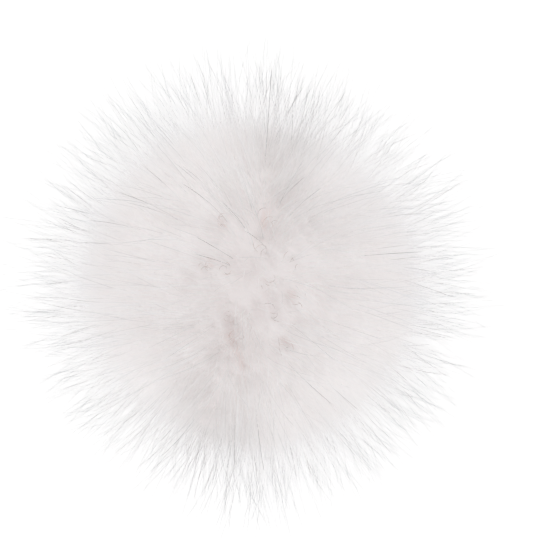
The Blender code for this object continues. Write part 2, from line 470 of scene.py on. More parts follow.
@dataclass(frozen=True)
class ThreadFinish:
    """White sewing thread with its twist."""

    name: str = "sewing_thread"
    colour: Colour = (0.86, 0.84, 0.82, 1.0)
    shadow: Colour = (0.62, 0.60, 0.58, 1.0)
    twists: float = 9.0
    roughness: float = 0.7

    def material(self) -> Material:
        """The material: slanted bands along the thread's own map, with painted shadow in the twist's grooves.
        """
        material, nodes, shader = new_material(self.name, {"Roughness": self.roughness})
        around, along = nodes.hair_map()
        slanted = nodes.maths("ADD", nodes.maths("MULTIPLY", along, self.twists), around)
        wave = nodes.maths("SINE", nodes.maths("MULTIPLY", slanted, math.tau))
        band = nodes.maths("MULTIPLY_ADD", wave, 0.5, 0.5)
        nodes.value(shader["Base Color"], nodes.mix(band, self.shadow, self.colour))
        return material


# ---- form of the pile


@dataclass(frozen=True)
class Parting:
    """A place on the face where the pile opens to its base, as a short line seen from above.

    Its sizes are in millimetres and its bearing in degrees.
    """

    x: float
    y: float
    length: float
    bearing: float
    push: float
    width: float
    warmth: float = 1.0

    def away(self, places: Array) -> tuple[Array, Array]:
        """How places lie from the line.

        Args:
            places: (n, 2) places seen from above, in metres.

        Returns:
            (n, 2) unit vectors away from the nearest point of the line, and (n,) distances.
        """
        along = heading(self.bearing)
        offset = places - np.array((self.x, self.y)) * MM
        run = np.clip(offset @ along, -self.length * MM / 2, self.length * MM / 2)
        off_line = offset - run[:, None] * along
        distance = np.linalg.norm(off_line, axis=1)
        return off_line / np.maximum(distance, NEARLY_ZERO)[:, None], distance

    def nearness(self, places: Array, widths: float) -> Array:
        """A bell curve of the (n,) distances from the line over that many of its widths."""
        return np.exp(-((self.away(places)[1] / (widths * self.width * MM)) ** 2))


@dataclass(frozen=True)
class Hollow:
    """A fan on the face, from a point outwards, where the pile lies open and painted shade darkens it.

    Its point is in millimetres, and its bearing and spread are in degrees.
    """

    x: float
    y: float
    bearing: float
    spread: float
    start_width: float = 1.0 * MM
    rise: Span = (-2 * MM, 8 * MM)

    def share(self, places: Array) -> Array:
        """How far places lie in the fan, from 0 to 1.

        The share is a bell curve of the distance across over the fan's width there, times a
        rise along the fan's first few millimetres.

        Args:
            places: (n, 2) places seen from above, in metres.

        Returns:
            (n,) shares.
        """
        along = heading(self.bearing)
        offset = places - np.array((self.x, self.y)) * MM
        run = offset @ along
        across = np.abs(offset @ np.array((-along[1], along[0])))
        width = self.start_width + np.maximum(run, 0.0) * math.tan(math.radians(self.spread))
        return smooth_step(run, *self.rise) * np.exp(-((across / width) ** 2))


@dataclass(frozen=True)
class PileForm:
    """The ball that every layer of pile follows, and the way its hair is combed.

    Hair stands square to the ball, leans away from a crown line on the face, drifts in slow
    swirls and parts at a few places. The lowest hair is bent level on the surface. A fade is the
    pair of heights on a ball of radius 1 between which something sets in. Tones are shares of
    painted shade: a base, less on the flanks, more in the hollows or near the crown line.
    """

    centre_height: float = 40 * MM
    lowest: float = math.radians(163)
    root_scatter: float = 0.45
    # A parting's x, y, length, bearing, push and width.
    crown: Parting = Parting(1.0, 0.3, 31, 78, 0.5, 9)
    partings: tuple[Parting, ...] = (
        Parting(3.8, 15.2, 2.6, 80, 0.30, 0.7),
        Parting(5.6, 5.4, 1.2, 80, 0.2, 0.9, warmth=0.0),
        Parting(-2.4, -14.8, 8.0, -66, 0.28, 0.65),
        Parting(-8.2, 5.2, 0.8, 110, 0.16, 0.6),
        Parting(-5.6, 14.0, 0.8, 130, 0.16, 0.6),
        Parting(9.6, -2.0, 0.8, 70, 0.14, 0.6),
        Parting(8.4, -12.6, 1.2, -50, 0.16, 0.6),
    )
    grooves: tuple[Parting, ...] = (
        Parting(3.0, 20.0, 15, 93, 0.3, 2.2),
        Parting(-6.4, -21.4, 16, 71, 0.26, 2.2),
    )
    # A hollow's x, y, bearing and spread.
    hollows: tuple[Hollow, ...] = (
        Hollow(3.4, 8.0, 78, 20),
        Hollow(-3.0, -3.4, -100, 22),
    )
    combed_fade: Span = (0.0, 0.625)
    pushed_widths: float = 2.0
    droop: float = 0.14
    swirl: float = 0.10
    tufts: tuple[Wave, ...] = (
        Wave(0.16, 10, 9.0, seed=21),
        Wave(0.12, 12, 17.0, seed=25),
        Wave(0.06, 14, 34.0, seed=22),
    )
    bend: Span = (0.3, 1.2)
    swell: float = 0.008
    swell_bearing: float = math.radians(140)
    shoulder: float = 0.05
    uneven: Wave = Wave(0.025, 12, 6.0, seed=23)
    hollow_depth: float = 0.045
    hollow_fade: Span = (-0.3, 0.2)
    # Painted shade: a base, less on the flanks, more in the hollows and near the crown line.
    base_painted_shade: float = 0.3
    flank_painted_shade: float = -0.32
    flank: Span = (0.45, 0.85)
    mottle: Wave = Wave(0.11, 14, 12.0, seed=24)
    hollow_painted_shade: float = 0.52
    hollow_flank_painted_shade: float = 0.2
    crown_painted_shade: float = 0.33
    crown_reach: float = 12 * MM
    crown_fade: Span = (0.0, 0.25)
    foot_reach: float = 49 * MM
    foot_start: float = -0.62
    band_reach: Span = (28 * MM, 64 * MM)
    stud_clearance: float = 11.6 * MM
    stud_top: float = 4.2 * MM
    pressed_outward: float = 0.33

    @property
    def centre(self) -> Array:
        """The ball's centre."""
        return np.array((0.0, 0.0, self.centre_height))

    def directions(self, count: int, highest: float, rng: Generator) -> Array:
        """Root directions spread evenly on a spiral down the ball, each moved a little at random.

        Args:
            count: how many roots.
            highest: the angle from the top of the ball at which the spiral starts.
            rng: the random draws.

        Returns:
            (count, 3) unit vectors, from the top of the ball to the lowest root.
        """
        index = np.arange(count)
        fall = math.cos(highest) - math.cos(self.lowest)
        height = math.cos(highest) - fall * (index + 0.5) / count
        ring = np.sqrt(1.0 - height**2)
        turn = math.pi * (3.0 - math.sqrt(5.0)) * index
        spiral = np.column_stack((ring * np.cos(turn), ring * np.sin(turn), height))
        spacing = math.sqrt(math.tau * fall / count)
        return unit(spiral + rng.normal(0.0, self.root_scatter * spacing, spiral.shape))

    def lean(self, directions: Array, radius: float, tufting: float) -> Array:
        """The sideways lean of hair, which gives the parting of the pile and its tufts.

        The crown line and the partings push hair away from them, hair droops outward by a share
        of its place, and a swirl about the vertical turns it by the sine of three times x and
        twice z, times the cosine of twice y less z.

        Args:
            directions: (n, 3) root directions.
            radius: the radius of the ball that they root in.
            tufting: how much of the lean into tufts this hair takes, from 0 to 1.

        Returns:
            (n, 3) leans, square to the directions.
        """
        places = directions[:, :2] * radius
        facing = smooth_step(directions[:, 2:], *self.combed_fade)
        away, distance = self.crown.away(places)
        strength = self.crown.push * smooth_step(distance, 0.0, self.crown.width * MM)
        lean = np.zeros_like(directions)
        lean[:, :2] += facing * strength[:, None] * away
        for parting in self.partings + self.grooves:
            push = parting.push * parting.nearness(places, self.pushed_widths)
            lean[:, :2] += facing * push[:, None] * parting.away(places)[0]
        lean[:, :2] += self.droop * directions[:, :2]
        x, y, z = directions.T
        turn = self.swirl * np.sin(3 * x + 2 * z) * np.cos(2 * y - z)
        lean[:, 0] -= turn * y
        lean[:, 1] += turn * x
        for wave in self.tufts:
            lean += tufting * wave.vectors(directions)
        return sideways(directions, lean)

    def hollow_share(self, directions: Array, radius: float) -> Array:
        """How far directions on a ball of that radius lie in a hollow of the face, from 0 to 1."""
        deep = np.max([hollow.share(directions[:, :2] * radius) for hollow in self.hollows], axis=0)
        return deep * smooth_step(directions[:, 2], *self.hollow_fade)

    def swelling(self, directions: Array, radius: float) -> Array:
        """How much further the pile reaches in some directions, as a factor of about 1.

        The factor is 1, plus the swell along its bearing, plus what the shoulders fill out, plus
        an uneven wave, less the depth of the hollows.

        Args:
            directions: (n, 3) root directions.
            radius: the radius of the ball that they root in.

        Returns:
            (n,) factors.
        """
        bearing = np.arctan2(directions[:, 1], directions[:, 0])
        flat = np.hypot(directions[:, 0], directions[:, 1])
        swell = self.swell * np.cos(2.0 * (bearing - self.swell_bearing)) * flat
        shoulder = self.shoulder * np.sin(2.0 * np.arcsin(np.clip(flat, 0.0, 1.0))) ** 2
        sunk = self.hollow_depth * self.hollow_share(directions, radius)
        return 1.0 + swell + shoulder + self.uneven.values(directions) - sunk

    def shade(self, directions: Array, radius: float) -> Array:
        """How much painted shade the hair takes in those directions, from 0 to 1.

        The painted shade is deepest in the hollows, deeper near the crown line than at the sides,
        and a random mottle makes it uneven all over.

        Args:
            directions: (n, 3) root directions.
            radius: the radius of the ball that they root in.

        Returns:
            (n,) shades.
        """
        places = directions[:, :2] * radius
        flank = smooth_step(np.hypot(directions[:, 0], directions[:, 1]), *self.flank)
        in_hollow = self.hollow_share(directions, radius)
        in_hollow = in_hollow * (self.hollow_painted_shade + self.hollow_flank_painted_shade * flank)
        near_crown = np.exp(-((self.crown.away(places)[1] / self.crown_reach) ** 2))
        near_crown *= self.crown_painted_shade * smooth_step(directions[:, 2], *self.crown_fade)
        tone = self.base_painted_shade + self.flank_painted_shade * flank + self.mottle.values(directions)
        return np.clip(tone + np.maximum(in_hollow, near_crown), 0.0, 1.0)

    def grow(self, roots: Array, directions: Array, lean: Array, length: Array, along: Array) -> Array:
        """Hair paths: each step goes along the direction plus a growing share of the lean.

        Args:
            roots: (n, 3) places of the roots.
            directions: (n, 3) unit vectors of growth at the roots.
            lean: (n, 3) sideways lean at the tips.
            length: (n,) lengths in metres.
            along: (points,) where the points of a path lie along it, from 0 to 1.

        Returns:
            (n, points, 3) places.
        """
        first, last = self.bend
        bend = first + (last - first) / 2 * (along[:-1] + along[1:])
        steps = unit(directions[:, None, :] + lean[:, None, :] * bend[None, :, None])
        steps *= (length[:, None] * np.diff(along))[..., None]
        return np.cumsum(np.concatenate((roots[:, None, :], steps), axis=1), axis=1)

    def settle(self, paths: Array, clearance: Array) -> Array:
        """Bends what would pass under the surface level, and keeps hair off the press stud.

        Args:
            paths: (n, points, 3) places.
            clearance: (n,) least heights of the paths.

        Returns:
            The paths. What is pressed up moves outward by a third of that.
        """
        settled = paths.copy()
        pressed = np.maximum(clearance[:, None] - settled[..., 2], 0.0)
        settled[..., 2] += pressed
        off_axis = np.maximum(np.linalg.norm(settled[..., :2], axis=-1), NEARLY_ZERO)
        outward = self.pressed_outward * pressed
        low = settled[..., 2] < self.stud_top
        short = np.where(low, np.maximum(self.stud_clearance - off_axis - outward, 0.0), 0.0)
        settled[..., :2] *= (1.0 + (outward + short) / off_axis)[..., None]
        return settled


# ---- strands of hair


@dataclass(frozen=True)
class StrandShape:
    """A closed, tapering, three-sided prism with a base and a pointed tip."""

    points: int
    sides: int = 3
    map_strip: float = 1.0 / 48.0
    # A direction that sets out the first side of every section.
    reference: Place = (0.37, 0.61, 0.70)

    def template(self) -> tuple[Array, Array, Array]:
        """One strand's triangles.

        Returns:
            (m, 3) corner indices, and for each corner how far round the strand it lies, from 0
            to 1, and which path point it belongs to.
        """
        around = np.arange(self.sides)
        rings = self.points - 1
        tip = rings * self.sides
        last = tip - self.sides
        beside = (around + 1) % self.sides
        point = np.column_stack((last + around, last + beside, np.full(self.sides, tip)))
        base = np.array([[0, 2, 1]])
        triangles = np.concatenate((wall(rings, self.sides), point, base))
        turn = np.where(triangles == tip, 0.5, (triangles % self.sides) / self.sides)
        level = np.where(triangles == tip, rings, triangles // self.sides)
        return triangles, turn, level

    def corners(self, paths: Array, half_widths: Array, roll: Array) -> Array:
        """Corner places of strands.

        Args:
            paths: (n, points, 3) places.
            half_widths: (n, points) distances from the path to the corners.
            roll: (n,) angles that turn the sections.

        Returns:
            (n, corners, 3) places. The last corner is the tip.
        """
        along = unit(np.gradient(paths, axis=1))
        side = unit(np.cross(along, np.array(self.reference)))
        other = np.cross(along, side)
        angles = roll[:, None] + np.arange(self.sides) * math.tau / self.sides
        rings = ring_corners(paths[:, :-1], half_widths[:, :-1], side[:, :-1], other[:, :-1], angles)
        return np.concatenate((rings, paths[:, -1:, :]), axis=1)

    def build(
        self, name: str, paths: Array, half_widths: Array, tone: Array, bands: Array,
        rng: Generator,
    ) -> Object:
        """One object with every strand, and the hair map that its finish reads.

        Args:
            name: the piece's name.
            paths: (n, points, 3) places.
            half_widths: (n, points) half widths.
            tone: (n,) tones from 0 to 1, which place each strand across the hair map.
            bands: (n, points) places up the hair map, from 0 to 1.
            rng: the random draws.

        Returns:
            The object.
        """
        corners = self.corners(paths, half_widths, rng.uniform(0.0, math.tau, len(paths)))
        triangles, turn, level = self.template()
        across = tone[:, None, None] * (1.0 - self.map_strip) + turn[None] * self.map_strip
        return repeated_object(
            name, corners, triangles, np.stack((across, bands[:, level]), axis=-1), smooth=False
        )


@dataclass(frozen=True)
class HairLayer:
    """One layer of the pile, grown in wisps whose strands draw together towards their tips.

    A wisp reaches from its root radius to the shortest reach plus an exponential draw times the
    softness, and at most to the longest. Strays are sideways, as shares of a hair's length.
    """

    name: str
    finish: HairFinish
    wisps: int
    strands_a_wisp: int
    points: int
    shortest: float
    softness: float
    longest: float
    half_width: float
    wisp_spread: float
    tip_share: float
    stray: float
    seed: int
    pieces: int = 1
    root_radius: float = 32 * MM
    highest: float = 0.0
    face_share: float = 1.0
    face: Span = (0.35, 0.65)
    tufting: float = 1.0
    lay: float = 1.0
    strand_stray: float = 0.35
    strand_share: Span = (0.82, 1.0)
    root_share: Span = (0.97, 1.0)
    foot_share: Span = (0.9, 1.03)
    underside: float = -0.2
    underside_slack: float = 6 * MM
    underside_shortest: float = 4 * MM
    floor_layer: float = 1.5 * MM
    crowding: float = 1.0
    taper: float = 1.6
    belly: float = 0.5
    belly_end: float = 1.2
    width_range: Span = (0.7, 1.15)
    tone_scatter: float = 0.12
    shade_share: float = 1.0
    banding: Banding = Banding.REACH
    reach_share: float = 0.9

    @property
    def along(self) -> Array:
        """Where the points lie along a hair, from 0 to 1, crowded towards its tip."""
        return 1.0 - (1.0 - np.linspace(0.0, 1.0, self.points)) ** self.crowding

    def build(self, form: PileForm) -> list[Object]:
        """Grows the layer.

        Args:
            form: the ball and its combing.

        Returns:
            The layer's pieces, each dressed and riding on the root body.
        """
        rng = np.random.default_rng(self.seed)
        wisps = form.directions(self.wisps, self.highest, rng)
        left_out = smooth_step(wisps[:, 2], *self.face) * (1.0 - self.face_share)
        wisps = wisps[rng.uniform(0.0, 1.0, self.wisps) > left_out]
        order = rng.permutation(len(wisps))
        material = self.finish.material()
        made = []
        for index, share in enumerate(np.array_split(order, self.pieces)):
            made.append(self.piece(f"{self.name}_{index + 1}", form, wisps[share], rng))
            dress(made[-1], material)
        return made

    def piece(self, name: str, form: PileForm, wisps: Array, rng: Generator) -> Object:
        """Grows one piece of the layer.

        Args:
            name: the piece's name.
            form: the ball and its combing.
            wisps: (n, 3) directions of the wisps' roots.
            rng: the random draws.

        Returns:
            The piece.
        """
        paths = self.paths(form, wisps, rng)
        widest = np.sin(math.pi * np.clip(self.along * self.belly_end, 0.0, 1.0)) - 0.5
        taper = (1.0 - self.along**self.taper) * (1.0 + self.belly * widest)
        widths = self.half_width * rng.uniform(*self.width_range, len(paths))[:, None] * taper
        # A strand's tone is its share of the form's painted shade plus random scatter.
        shade = self.shade_share * np.repeat(form.shade(wisps, self.root_radius), self.strands_a_wisp)
        tone = np.clip(shade + rng.normal(0.0, self.tone_scatter, len(paths)), 0.0, 1.0)
        return StrandShape(self.points).build(name, paths, widths, tone, self.bands(form, paths), rng)

    def paths(self, form: PileForm, wisps: Array, rng: Generator) -> Array:
        """The paths of all strands of wisps.

        Args:
            form: the ball and its combing.
            wisps: (n, 3) directions of the wisps' roots.
            rng: the random draws.

        Returns:
            (n * strands a wisp, points, 3) places.
        """
        count = len(wisps) * self.strands_a_wisp
        wisp_lean = self.lay * form.lean(wisps, self.root_radius, self.tufting)
        wisp_lean += sideways(wisps, rng.normal(0.0, self.stray, wisps.shape))
        wisp_length = self.wisp_reach(form, wisps, rng) - self.root_radius

        directions, lean, length = (
            np.repeat(values, self.strands_a_wisp, axis=0) for values in (wisps, wisp_lean, wisp_length)
        )
        length = length * rng.uniform(*self.strand_share, count)
        offset = sideways(directions, rng.normal(0.0, self.wisp_spread, directions.shape))
        height = self.root_radius * rng.uniform(*self.root_share, count)
        roots = form.centre + unit(directions + offset / self.root_radius) * height[:, None]
        lean += sideways(directions, rng.normal(0.0, self.strand_stray * self.stray, directions.shape))
        lean += offset * (self.tip_share - 1.0) / length[:, None]

        down = np.maximum(-directions[:, 2], -self.underside)
        room = (form.centre_height + self.underside_slack) / down - self.root_radius
        shortened = np.minimum(length, np.maximum(room, self.underside_shortest))
        length = np.where(directions[:, 2] < self.underside, shortened, length)
        paths = form.grow(roots, directions, lean, length, self.along)
        return form.settle(paths, self.half_width + rng.uniform(0.0, self.floor_layer, count))

    def wisp_reach(self, form: PileForm, wisps: Array, rng: Generator) -> Array:
        """How far wisps reach from the ball's centre. Low ones reach down to the surface.

        Args:
            form: the ball and its combing.
            wisps: (n, 3) directions of the wisps' roots.
            rng: the random draws.

        Returns:
            (n,) distances.
        """
        reach = np.minimum(self.shortest + self.softness * rng.exponential(1.0, len(wisps)), self.longest)
        reach = reach * form.swelling(wisps, self.root_radius)
        to_floor = form.centre_height / np.maximum(-wisps[:, 2], -self.underside / 2)
        foot = np.minimum(to_floor * rng.uniform(*self.foot_share, len(wisps)), form.foot_reach)
        return np.where(wisps[:, 2] < form.foot_start, np.maximum(reach, foot), reach)

    def bands(self, form: PileForm, paths: Array) -> Array:
        """Where each path point lies up the hair map.

        By length it is the share of the length passed. By reach it is nine tenths of how far
        the point lies between the inner and the outer reach, plus a tenth of that share.

        Args:
            form: the ball.
            paths: (n, points, 3) places.

        Returns:
            (n, points) values from 0 to 1.
        """
        along = np.broadcast_to(self.along, paths.shape[:2])
        if self.banding is Banding.LENGTH:
            return along
        reach = np.linalg.norm(paths - form.centre, axis=-1)
        inner, outer = form.band_reach
        passed = np.clip((reach - inner) / (outer - inner), 0.0, 1.0)
        return self.reach_share * passed + (1.0 - self.reach_share) * along


@dataclass(frozen=True)
class CurledHair:
    """Short brownish hairs that curl out of the pile at a few places on the face."""

    finish: HairFinish
    # Each site's x and y in millimetres.
    sites: Rows = (
        (-6.1, 15.4), (-9.3, 4.7), (-4.7, 3.7), (4.9, 1.0), (11.3, -2.7), (5.9, -5.4), (9.1, -14.2),
        (-3.8, -6.9), (-2.1, -11.8), (4.9, 14.9), (3.2, 8.0), (10.2, 6.4),
    )
    strands_a_site: int = 4
    points: int = 9
    inner_reach: float = 35.5 * MM
    outer_reach: float = 38.6 * MM
    rise_power: float = 0.6
    taper: float = 4.0
    curl_radius: Span = (0.5 * MM, 1.3 * MM)
    curl_turn: Span = (0.8, 3.0)
    site_spread: float = 0.8 * MM
    half_width: float = 0.035 * MM
    reference: Place = (0.0, 1.0, 0.2)
    seed: int = 106

    def build(self, form: PileForm) -> Object:
        """Each hair rises from the inner to the outer reach while it turns on its curl's radius.

        Args:
            form: the ball that the hairs stand on.

        Returns:
            The piece.
        """
        rng = np.random.default_rng(self.seed)
        places = np.repeat(np.array(self.sites) * MM, self.strands_a_site, axis=0)
        count = len(places)
        places += rng.normal(0.0, self.site_spread, places.shape)
        flat = places / self.outer_reach
        up = np.column_stack((flat, np.sqrt(1.0 - np.sum(flat**2, axis=1))))
        side = unit(np.cross(up, np.array(self.reference)))
        other = np.cross(up, side)
        along = np.linspace(0.0, 1.0, self.points)
        radius = rng.uniform(*self.curl_radius, count)[:, None]
        hand = rng.choice((-1.0, 1.0), count)
        turn = rng.uniform(0.0, math.tau, count)[:, None]
        turn = turn + (hand * rng.uniform(*self.curl_turn, count))[:, None] * along
        reach = self.inner_reach + (self.outer_reach - self.inner_reach) * along**self.rise_power
        paths = form.centre + up[:, None, :] * reach[None, :, None]
        paths = paths + (radius * np.cos(turn))[..., None] * side[:, None, :]
        paths = paths + (radius * np.sin(turn))[..., None] * other[:, None, :]
        widths = self.half_width * np.broadcast_to(1.0 - along**self.taper, (count, self.points))
        bands = np.broadcast_to(along, (count, self.points))
        tone = rng.uniform(0.0, 1.0, count)
        obj = StrandShape(self.points).build("curled_hair", paths, widths, tone, bands, rng)
        dress(obj, self.finish.material())
        return obj


# ---- stud's stitches


@dataclass(frozen=True)
class StudStitches:
    """White thread through the stud's holes and over its rim into the gathered base."""

    finish: ThreadFinish
    holes: int = 6
    threads_a_hole: int = 5
    thread_gap: float = 0.42 * MM
    thread_scatter: float = 0.05 * MM
    thread_radius: float = 0.14 * MM
    fanning: float = 0.35
    sides: int = 8
    # The route's distance from the axis and its height, in millimetres.
    route: Rows = (
        (7.2, 4.2), (7.35, 3.2), (7.6, 2.25), (8.1, 1.5), (8.9, 0.95), (9.7, 0.74), (10.35, 0.8),
        (10.8, 1.25), (10.95, 2.1), (10.9, 3.1), (10.7, 4.2),
    )
    seed: int = 107

    def build(self) -> Object:
        """Tubes along the route, side by side at each hole and fanned out towards its end.

        Returns:
            The piece.
        """
        rng = np.random.default_rng(self.seed)
        route = np.array(self.route) * MM
        bearing = np.repeat(np.arange(self.holes) * math.tau / self.holes, self.threads_a_hole)
        lane = np.tile(np.arange(self.threads_a_hole) - (self.threads_a_hole - 1) / 2, self.holes)
        count = len(bearing)
        fan = 1.0 + self.fanning * np.linspace(0.0, 1.0, len(route))
        across = (lane * self.thread_gap)[:, None] * fan + rng.normal(0.0, self.thread_scatter, (count, 1))
        out = np.broadcast_to(route[:, 0], (count, len(route)))
        low = np.broadcast_to(route[:, 1], (count, len(route)))
        cosine, sine = np.cos(bearing)[:, None], np.sin(bearing)[:, None]
        paths = np.stack((out * cosine - across * sine, out * sine + across * cosine, low), axis=-1)
        obj = self.tubes(paths, np.column_stack((-np.sin(bearing), np.cos(bearing), np.zeros(count))))
        dress(obj, self.finish.material())
        return obj

    def tubes(self, paths: Array, across: Array) -> Object:
        """Closed round tubes along the paths.

        Args:
            paths: (n, points, 3) places.
            across: (n, 3) a direction square to each whole path.

        Returns:
            The object, with how far round and how far along in its map.
        """
        count, points = paths.shape[:2]
        along = unit(np.gradient(paths, axis=1))
        side = np.broadcast_to(across[:, None, :], along.shape)
        around = np.arange(self.sides)
        angles = around[None, :] * math.tau / self.sides
        radii = np.full((count, points), self.thread_radius)
        rings = ring_corners(paths, radii, side, np.cross(along, side), angles)
        corners = np.concatenate((rings, paths[:, [0, -1]]), axis=1)
        beside = (around + 1) % self.sides
        start, end = points * self.sides, points * self.sides + 1
        last = (points - 1) * self.sides
        cap_one = np.column_stack((np.full(self.sides, start), beside, around))
        cap_two = np.column_stack((np.full(self.sides, end), last + around, last + beside))
        triangles = np.concatenate((wall(points, self.sides), cap_one, cap_two))
        turn = (triangles % self.sides) / self.sides
        level = np.minimum(triangles // self.sides, points - 1) / (points - 1)
        level = np.where(triangles == start, 0.0, level)
        places = np.broadcast_to(np.stack((turn, level), axis=-1), (count, *triangles.shape, 2))
        return repeated_object("sewing_thread", corners, triangles, places, smooth=True)


# ---- dense body


@dataclass(frozen=True)
class DensePile:
    """The matted base of the pile with its gathered neck: one closed, lumpy, turned surface."""

    radius: float = 35.2 * MM
    neck_radius: float = 11.4 * MM
    neck_drop: float = 1 * MM
    neck_bottom: float = 3.45 * MM
    # Steps inward from the neck's radius and up from its bottom.
    neck_edge: Rows = (
        (0.0, 1.2 * MM), (0.3 * MM, 0.5 * MM), (1.2 * MM, 0.0), (4.5 * MM, 0.0),
    )
    pleats: int = 22
    pleat_depth: float = 0.3 * MM
    pleated_heights: Span = (12 * MM, 6 * MM)
    ball_heights: Span = (12 * MM, 18 * MM)
    rows: int = 110
    steps: int = 176
    lumps: tuple[Wave, ...] = (Wave(0.4 * MM, 18, 26.0, seed=31), Wave(0.4 * MM, 24, 70.0, seed=32))
    sinking: float = 0.75
    parting_depth: float = 0.7 * MM
    parting_widths: float = 1.3
    parting_fade: Span = (0.0, 1 / 3)

    def profile(self, form: PileForm) -> tuple[Array, Array]:
        """The outline from the top of the ball to the edge of the flat base.

        Returns:
            (rows,) distances from the axis and (rows,) heights, without the two poles.
        """
        ball_rows = self.rows - len(self.neck_edge) - 1
        polar = np.linspace(0.0, math.pi - math.asin(self.neck_radius / self.radius), ball_rows + 1)[1:]
        ball = np.column_stack((np.sin(polar), np.cos(polar))) * self.radius
        ball[:, 1] += form.centre_height
        neck_top = np.array([[self.neck_radius, ball[-1, 1] - self.neck_drop]])
        edge = np.array((self.neck_radius, self.neck_bottom)) + np.array(self.neck_edge) * (-1.0, 1.0)
        return tuple(np.concatenate((ball, neck_top, edge)).T)

    def build(self, form: PileForm, finish: DensePileFinish) -> Object:
        """The surface: the outline turned about the axis, swelled by lumps and cut by partings.

        Args:
            form: the ball and its partings.
            finish: the material's values.

        Returns:
            The object, which stands for the fur's solid.
        """
        out, up = self.profile(form)
        turn = np.linspace(0.0, math.tau, self.steps, endpoint=False)
        low = smooth_step(up, *self.pleated_heights) * out / self.neck_radius
        pleated = out[:, None] - low[:, None] * self.pleat_depth * (1.0 + np.sin(self.pleats * turn))
        heights = np.broadcast_to(up[:, None], pleated.shape)
        grid = np.stack((pleated * np.cos(turn), pleated * np.sin(turn), heights), axis=-1).reshape(-1, 3)
        top = np.array([[0.0, 0.0, form.centre_height + self.radius]])
        bottom = np.array([[0.0, 0.0, self.neck_bottom]])
        points = np.concatenate((top, grid, bottom))

        directions = unit(points - form.centre)
        lumps = sum(wave.values(directions) for wave in self.lumps)
        depth, warm = self.parting_share(directions, form)
        sunk = self.sinking * form.hollow_depth * self.radius * form.hollow_share(directions, self.radius)
        move = smooth_step(points[:, 2], *self.ball_heights) * (lumps - self.parting_depth * depth - sunk)
        points = points + directions * move[:, None]
        obj = mesh_object("dense_pile", points, self.triangles(len(out)), smooth=True)
        # The shade attribute carries the form's painted shade to the finish.
        for name, values in ((PARTING_DEPTH, warm), (PILE_SHADE, form.shade(directions, self.radius))):
            attribute = obj.data.attributes.new(name, "FLOAT", "POINT")
            attribute.data.foreach_set("value", values.astype(np.float32))
        dress(obj, finish.material())
        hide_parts("fur")
        return obj

    def parting_share(self, directions: Array, form: PileForm) -> tuple[Array, Array]:
        """How far each direction lies in a parting: a bell curve of the distance.

        Args:
            directions: (n, 3) unit vectors.
            form: the ball and its partings.

        Returns:
            (n,) shares from 0 to 1, and the same times each parting's warmth.
        """
        places = directions[:, :2] * self.radius
        near = np.array([parting.nearness(places, self.parting_widths) for parting in form.partings])
        warmth = np.array([[parting.warmth] for parting in form.partings])
        on_face = smooth_step(directions[:, 2], *self.parting_fade)
        return near.max(axis=0) * on_face, (near * warmth).max(axis=0) * on_face

    def triangles(self, rows: int) -> Array:
        """Corner indices: a fan at each pole and two triangles for each cell between the rows."""
        around = np.arange(self.steps)
        beside = (around + 1) % self.steps
        top = np.column_stack((np.zeros(self.steps, int), 1 + around, 1 + beside))
        low = 1 + np.arange(rows - 1)[:, None] * self.steps
        first = np.stack((low + around, low + self.steps + around, low + beside), axis=-1)
        second = np.stack((low + beside, low + self.steps + around, low + self.steps + beside), axis=-1)
        last = 1 + (rows - 1) * self.steps
        pole = last + self.steps
        bottom = np.column_stack((last + around, np.full(self.steps, pole), last + beside))
        return np.concatenate((top, first.reshape(-1, 3), second.reshape(-1, 3), bottom))


# ---- studio


@dataclass(frozen=True)
class Studio:
    """White floor, soft white light and the camera above the face."""

    frame_width: float = 130.8 * MM
    frame_centre: tuple[float, float] = (6.8 * MM, 1.8 * MM)
    widest_height: float = 40 * MM
    lens: float = 150.0
    sensor: float = 36.0
    light_bounces: int = 24
    floor_size: float = 4.0
    floor_colour: Colour = (0.9, 0.9, 0.9, 1.0)
    floor_roughness: float = 0.9
    floor_glow: float = 0.26
    horizon: float = 1.035
    zenith: float = 0.895
    sky_heights: Span = (0.12, 0.6)

    def build(self) -> None:
        """Makes the floor, the world and the camera."""
        self.floor()
        self.world()
        self.camera()
        scene = bpy.context.scene
        scene.view_settings.view_transform = "Standard"
        scene.cycles.diffuse_bounces = self.light_bounces
        scene.cycles.max_bounces = self.light_bounces

    def floor(self) -> None:
        """A flat white floor that glows a little, so that it stays white under the pile."""
        half = self.floor_size / 2
        points = np.array([(-half, -half, 0), (half, -half, 0), (half, half, 0), (-half, half, 0)])
        floor = mesh_object("floor", points, np.array([(0, 1, 2), (0, 2, 3)]), smooth=False)
        settings = {
            "Base Color": self.floor_colour,
            "Roughness": self.floor_roughness,
            "Emission Color": WHITE,
            "Emission Strength": self.floor_glow,
        }
        floor.data.materials.append(new_material("floor", settings)[0])

    def world(self) -> None:
        """A white sky that is a little dimmer overhead than near the horizon."""
        world = bpy.data.worlds.new("white_sky")
        world.use_nodes = True
        nodes = NodeBuilder(world.node_tree)
        sky = world.node_tree.nodes["Background"].inputs
        parts = nodes.parts(nodes.add("ShaderNodeTexCoord").outputs["Generated"])
        height = nodes.ramp(parts["Z"], *self.sky_heights)
        strength = nodes.maths("MULTIPLY_ADD", height, self.zenith - self.horizon, self.horizon)
        nodes.value(sky["Strength"], strength)
        nodes.value(sky["Color"], WHITE)
        bpy.context.scene.world = world

    def camera(self) -> None:
        """A long lens that looks straight down, at the height where its frame has its width."""
        data = bpy.data.cameras.new("camera")
        data.lens = self.lens
        data.sensor_width = self.sensor
        distance = self.frame_width * self.lens / self.sensor
        camera = bpy.data.objects.new("camera", data)
        camera.location = Vector((*self.frame_centre, self.widest_height + distance))
        bpy.context.scene.collection.objects.link(camera)
        bpy.context.scene.camera = camera


# ---- whole object

